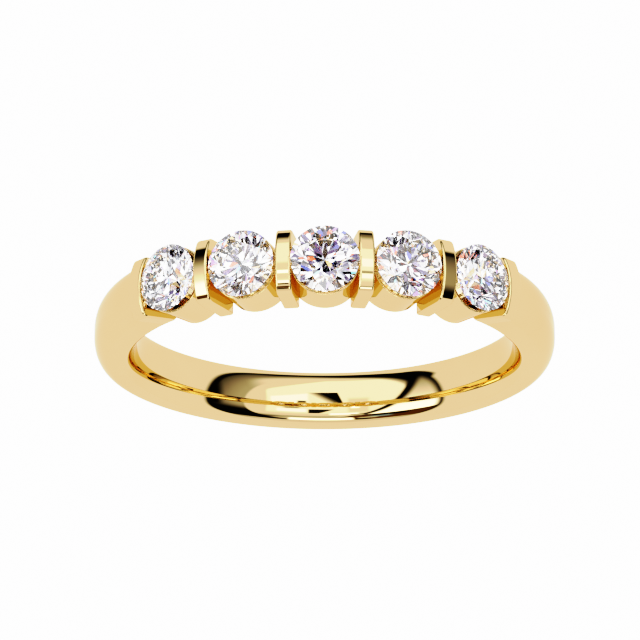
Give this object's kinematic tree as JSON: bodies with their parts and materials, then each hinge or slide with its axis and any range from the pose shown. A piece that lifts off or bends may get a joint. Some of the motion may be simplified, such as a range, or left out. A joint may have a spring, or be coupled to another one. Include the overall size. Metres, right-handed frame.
{
  "type": "five-stone diamond band",
  "caption": "Yellow gold finger ring with a row of round brilliant stones, each over a round cup and between upright bars, on a crowned shank.",
  "frame": {"origin": "centre of the finger hole, at the middle of the ring's width", "axes": "+Z along the finger axis, -Y from the finger axis to the middle stone, +X along the row of stones"},
  "size_m": [0.021, 0.022, 0.003],
  "materials": {
    "gold": "mirror polished yellow gold",
    "diamond": "polished facets, colourless"
  },
  "bodies": {
    "root": {"band": "gold", "stone_1": "diamond", "stone_2": "diamond", "stone_3": "diamond", "stone_4": "diamond", "stone_5": "diamond"}
  },
  "joints": []
}
